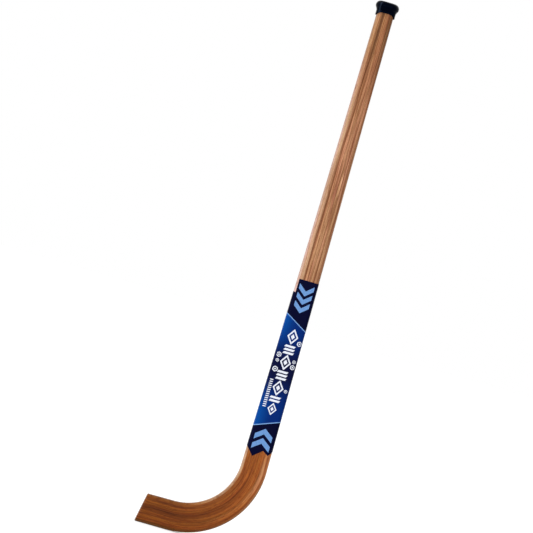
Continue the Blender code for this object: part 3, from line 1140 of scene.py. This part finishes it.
def rounded_outline(half_width, half_depth, radius):
    """Points round a rounded rectangle, anticlockwise from the left end of its front."""
    flat_x = half_width - radius
    flat_y = half_depth - radius
    corners = [(flat_x, -flat_y), (flat_x, flat_y), (-flat_x, flat_y), (-flat_x, -flat_y)]
    points = []
    for quarter, corner in enumerate(corners):
        angles = [pi / 2 * (quarter - 1 + step / STEPS_PER_UNIT) for step in range(STEPS_PER_UNIT + 1)]
        arc = [Vector(corner) + radius * Vector((cos(angle), sin(angle))) for angle in angles]
        if points:
            points += straight_between(points[-1], arc[0])
        points += arc
    return points + straight_between(points[-1], points[0])


def skirt_ring(height, offset):
    """Ring of the skirt at a height from the butt, arched over each face near the hem."""
    half_width = shaft_width(SHAFT_LENGTH + height) / 2 + offset
    half_depth = shaft_half_thickness(SHAFT_LENGTH + height) + offset
    below_neck = max(CAP_NECK_HEIGHT - CAP_COVERS - height, 0.0)
    arch = CAP_HEM_ARCH * below_neck / CAP_NECK_HEIGHT
    return [
        Vector((p.x, p.y, height + arch * (1 - abs(p.x / half_width) ** CAP_HEM_FLATNESS)))
        for p in rounded_outline(half_width, half_depth, EDGE_RADIUS + offset)
    ]


def cap_rings():
    """Rings of the cap: down the crown and the skirt, round the hem and up the inside."""
    skirt_offset = FIT_GAP + CAP_SKIRT_WALL
    half_width = BUTT_WIDTH / 2 + skirt_offset + CAP_CROWN_OVERHANG
    half_depth = BUTT_THICKNESS / 2 + skirt_offset + CAP_CROWN_OVERHANG
    crown_middle = FIT_GAP + CAP_TOP_WALL - CAP_CROWN_ROUND
    rings = []
    for step in range(CROWN_CUTS + 1):
        angle = pi / 2 - CAP_CROWN_SWEEP * step / CROWN_CUTS
        inset = CAP_CROWN_ROUND * (1 - cos(angle))
        height = crown_middle + CAP_CROWN_ROUND * sin(angle)
        end_radius = half_depth - inset - CAP_END_FLAT
        outline = rounded_outline(half_width - inset, half_depth - inset, end_radius)
        rings.append([Vector((p.x, p.y, height)) for p in outline])
    hem = -CAP_COVERS
    neck_steps = [step / NECK_CUTS for step in range(NECK_CUTS)]
    neck_to_hem = CAP_HEM_ROUND - CAP_NECK_HEIGHT
    outside = [hem + CAP_NECK_HEIGHT + neck_to_hem * share for share in neck_steps]
    rings += [skirt_ring(height, skirt_offset) for height in outside]
    for step in range(END_CUTS + 1):
        angle = pi / 2 * step / END_CUTS
        out = CAP_HEM_ROUND * (1 - cos(angle))
        rings.append(skirt_ring(hem + CAP_HEM_ROUND * (1 - sin(angle)), skirt_offset - out))
    for step in range(END_CUTS + 1):
        angle = pi / 2 * step / END_CUTS
        out = CAP_HEM_ROUND * (1 - sin(angle))
        rings.append(skirt_ring(hem + CAP_HEM_ROUND * (1 - cos(angle)), FIT_GAP + out))
    rings += [skirt_ring(height, FIT_GAP) for height in outside[::-1]]
    return rings + [skirt_ring(FIT_GAP, FIT_GAP)]


RUBBER_SHEEN = 0.06
RUBBER_SHEEN_TINT = (0.16, 0.26, 0.62, 1.0)
GRIT_DEPTH = 0.000004
# Place and waver of the cap's painted highlight
CAP_HIGHLIGHT_PLACE = 0.0115
CAP_HIGHLIGHT_WAVE = 0.004

rubber, rubber_tree, rubber_shader = new_material("moulded_rubber")
rubber_at = node(rubber_tree, "TexCoord").outputs["Object"]
bloom = noise(rubber_at, 90.0, 4.0, 0.6)
grit = noise(rubber_at, 2600.0, 2.0, 0.5)
rubber_colour = mixed(spread(bloom, 0.35, 0.75), linear(0, 1, 6), linear(1, 3, 11))

# A faint painted highlight, a pale streak, runs down the front of the crown and the neck, near the
# toe's side
rubber_x, rubber_y, rubber_z = node(rubber_tree, "SeparateXYZ", rubber_at).outputs
cap_highlight_away = size_of(total(rubber_x, CAP_HIGHLIGHT_PLACE, product(less(bloom, 0.5), CAP_HIGHLIGHT_WAVE)))
cap_highlight = product(fall(cap_highlight_away, 0.0003, 0.0019), fall(rubber_y, -0.004, 0.0))
cap_highlight = product(cap_highlight, spread(grit, 0.3, 0.6, 0.6, 1.0), fall(rubber_z, 0.109, 0.114, 0.25))
feed_named(
    rubber_shader,
    Base_Color=mixed(cap_highlight, rubber_colour, linear(32, 39, 53)),
    Roughness=spread(bloom, 0.3, 0.7, 0.17, 0.25),
    Specular_IOR_Level=RUBBER_SHEEN,
    Specular_Tint=RUBBER_SHEEN_TINT,
)
add_relief(rubber_shader, grit, GRIT_DEPTH)

butt = Vector((0, 0, GRIP_BELOW_BUTT))
cap_places = [[(point + butt, point) for point in ring] for ring in cap_rings()]
add_piece("butt_cap", drawn_out(cap_places, "cap_place"), rubber, "cap", "cap_rubber", "butt_cap")

# Floor, air and lamps
# A white floor that keeps the stick's shadow, white air behind it, broad soft lamps above and beside
# the toe, a narrower one that streaks the cap, and broad fill from the front and the back.
FLOOR_SIZE = 60.0
FLOOR_BELOW = 0.0002
FLOOR_PAINT = (0.82, 0.82, 0.82, 1.0)
FLOOR_ROUGHNESS = 0.9
FLOOR_GLOW = 0.3
AIR_LIGHT = 0.5
WHITE = (1, 1, 1, 1)


def rays_of_sight(tree):
    """Mask of the rays that show a thing to the camera, also in a gloss or through glass."""
    rays = node(tree, "LightPath").outputs
    return greatest(rays["Is Camera Ray"], rays["Is Glossy Ray"], rays["Is Transmission Ray"])


floor_mesh = bpy.data.meshes.new("floor")
floor_bm = bmesh.new()
bmesh.ops.create_grid(floor_bm, x_segments=1, y_segments=1, size=FLOOR_SIZE / 2)
floor_bm.to_mesh(floor_mesh)
floor_bm.free()
floor_mesh.transform(Matrix.Translation((0, 0, cad_bounds[0].z - FLOOR_BELOW)))
floor_paint, floor_tree, floor_shader = new_material("floor_paint")
feed_named(
    floor_shader,
    Base_Color=FLOOR_PAINT,
    Roughness=FLOOR_ROUGHNESS,
    Specular_IOR_Level=0.0,
    Emission_Color=WHITE,
    Emission_Strength=product(rays_of_sight(floor_tree), FLOOR_GLOW),
)
floor_mesh.materials.append(floor_paint)
floor = bpy.data.objects.new("floor", floor_mesh)
bpy.context.scene.collection.objects.link(floor)

air = bpy.data.worlds.new("air")
air.use_nodes = True
air_colour = mixed(rays_of_sight(air.node_tree), (AIR_LIGHT, AIR_LIGHT, AIR_LIGHT, 1), WHITE)
feed_named(air.node_tree.nodes["Background"], Color=air_colour)
bpy.context.scene.world = air


def soft_lamp(name, towards, width, strength):
    """Broad even light from a direction, as wide in degrees as it looks from the stick."""
    lamp = bpy.data.objects.new(name, bpy.data.lights.new(name, "SUN"))
    lamp.data.angle = radians(width)
    lamp.data.energy = strength
    lamp.rotation_euler = Vector(towards).to_track_quat("Z", "Y").to_euler()
    bpy.context.scene.collection.objects.link(lamp)


soft_lamp("upper_left_lamp", (-0.68, -0.26, 0.68), 40, 1.6)
soft_lamp("left_lamp", (-0.95, -0.30, 0.0), 40, 0.4)
soft_lamp("streak_lamp", (-0.24, -0.97, 0.03), 12, 0.35)
soft_lamp("front_lamp", (0.1, -1.0, 0.25), 60, 0.75)
soft_lamp("back_lamp", (0.5, 0.8, 0.4), 60, 0.8)

bpy.context.scene.view_settings.view_transform = "Standard"
